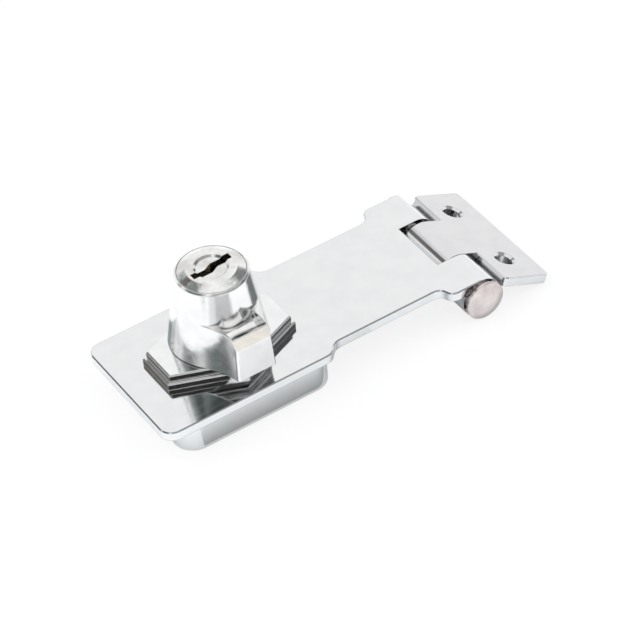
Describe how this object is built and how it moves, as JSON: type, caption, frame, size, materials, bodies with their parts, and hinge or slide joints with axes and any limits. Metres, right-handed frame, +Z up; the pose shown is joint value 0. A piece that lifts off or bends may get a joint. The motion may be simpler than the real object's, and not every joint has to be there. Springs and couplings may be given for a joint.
{
  "type": "keyed hasp lock",
  "caption": "Chrome hasp lock: a hinged plate with a keyed twist knob closes over a pressed staple box, and a small leaf screws to the door.",
  "frame": {"origin": "on the mounting surface, in the middle of the rim of the staple's free end", "axes": "+X along the hasp towards the hinge pin, through the knob's axis, +Y across it, +Z up from the mounting surface"},
  "size_m": [0.0874, 0.0346, 0.029],
  "materials": {
    "chrome_sheet": "bright chrome plate on pressed steel",
    "leaf_sheet": "chrome plate on pressed steel",
    "nickel_rivet": "bright nickel",
    "chrome_cast": "bright chrome plate on cast zinc",
    "chrome_face": "bright chrome plate on brass",
    "brass_turned": "turned",
    "steel_parts": "zinc-plated steel"
  },
  "bodies": {
    "staple": {"staple_box": "chrome_sheet"},
    "hasp": {"hasp_plate": "chrome_sheet", "hinge_pin": "nickel_rivet", "collar": "chrome_cast", "collar_screw_1": "steel_parts", "collar_screw_2": "steel_parts"},
    "leaf": {"hinge_leaf": "leaf_sheet"},
    "knob_group": {"knob": "chrome_cast", "lock_cylinder": "brass_turned", "knob_pin": "steel_parts", "stop_pin": "steel_parts", "friction_washer": "steel_parts", "spindle_clip": "steel_parts", "latch_hook": "steel_parts", "lock_washer": "steel_parts", "hook_screw": "steel_parts"},
    "plug": {"key_plug": "chrome_face", "wafer_1": "brass_turned", "wafer_2": "brass_turned", "wafer_3": "brass_turned", "wafer_4": "brass_turned", "wafer_5": "brass_turned"},
    "bolt": {"locking_bolt": "steel_parts"}
  },
  "joints": [
    {"name": "hasp_swing", "type": "hinge", "parent": "staple", "child": "hasp", "pos_m": [0.06665, 0, 0.0043], "axis": [0, 1, 0], "range_deg": [0, 100]},
    {"name": "leaf_swing", "type": "hinge", "parent": "hasp", "child": "leaf", "pos_m": [0.06665, 0, 0.0043], "axis": [0, 1, 0], "range_deg": [-104, 156]},
    {"name": "knob_turn", "type": "hinge", "parent": "hasp", "child": "knob_group", "pos_m": [0.0164, 0, 0.0206], "axis": [0, 0, 1], "range_deg": [0, 90]},
    {"name": "plug_turn", "type": "hinge", "parent": "knob_group", "child": "plug", "pos_m": [0.0164, 0, 0.0206], "axis": [0, 0, 1], "range_deg": [0, 90]},
    {"name": "bolt_slide", "type": "slide", "parent": "knob_group", "child": "bolt", "axis": [1, 0, 0], "range_m": [0, 0.0017]}
  ],
  "couplings": [
    {"joint": "bolt_slide", "follows": "plug_turn", "m_per_rad": 0.0010803}
  ]
}
